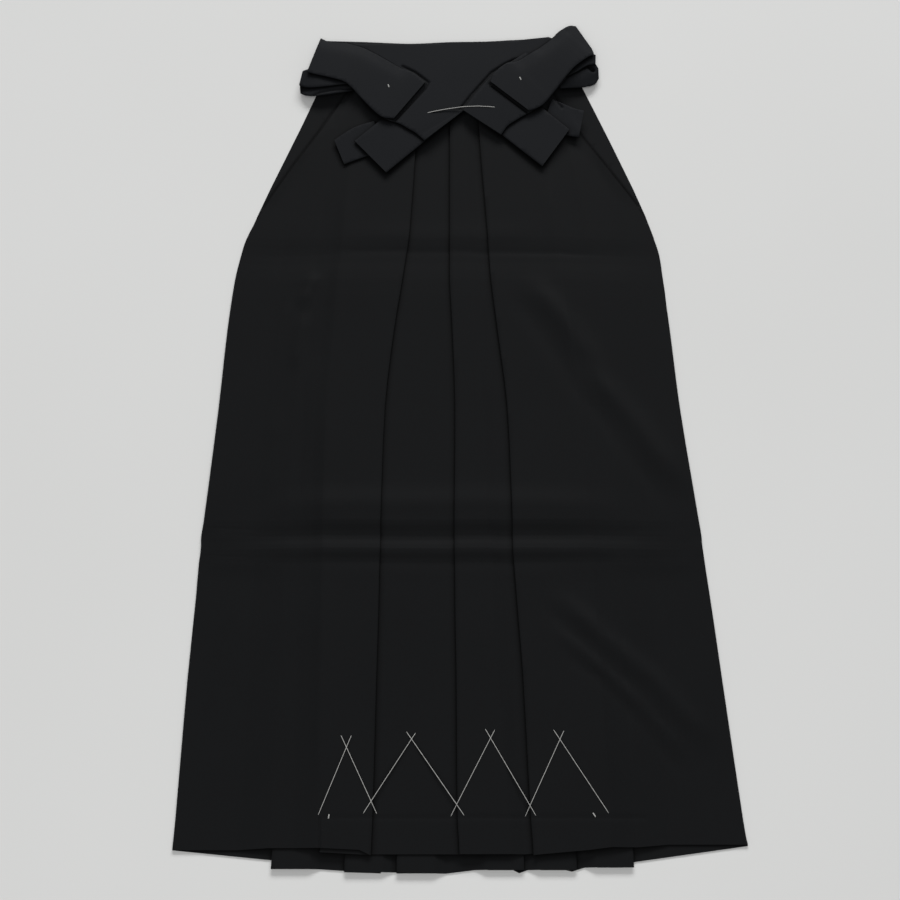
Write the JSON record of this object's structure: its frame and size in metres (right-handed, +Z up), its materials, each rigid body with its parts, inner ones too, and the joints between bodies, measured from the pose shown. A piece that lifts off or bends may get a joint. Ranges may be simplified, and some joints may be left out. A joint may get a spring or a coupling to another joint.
{
  "type": "hakama trousers",
  "caption": "Black pleated hakama trousers laid flat, front up, with the waist ties folded into a flat cross.",
  "frame": {"origin": "middle of the bounding box, on the surface that the garment lies on", "axes": "+Y runs from the hem to the waist, +X to the right of someone who looks at the front, +Z up from the surface"},
  "size_m": [0.5864, 0.9984, 0.019],
  "materials": {
    "panel_cloth": "fine black twill with a faint sheen",
    "tie_cloth": "the same black twill, doubled and pressed",
    "basting_thread": "loose pale cotton sewing thread"
  },
  "bodies": {
    "root": {"back_panel": "panel_cloth", "front_panel": "panel_cloth", "back_belt": "tie_cloth", "front_belt": "tie_cloth", "left_lower_tie": "tie_cloth", "left_lower_tie_under": "tie_cloth", "right_lower_tie": "tie_cloth", "right_lower_tie_under": "tie_cloth", "left_cross_tie": "tie_cloth", "right_cross_tie": "tie_cloth", "left_tie_flap": "tie_cloth", "right_tie_flap": "tie_cloth", "left_fold_lower": "tie_cloth", "left_fold_upper": "tie_cloth", "right_fold_lower": "tie_cloth", "right_fold_upper": "tie_cloth"}
  },
  "joints": []
}
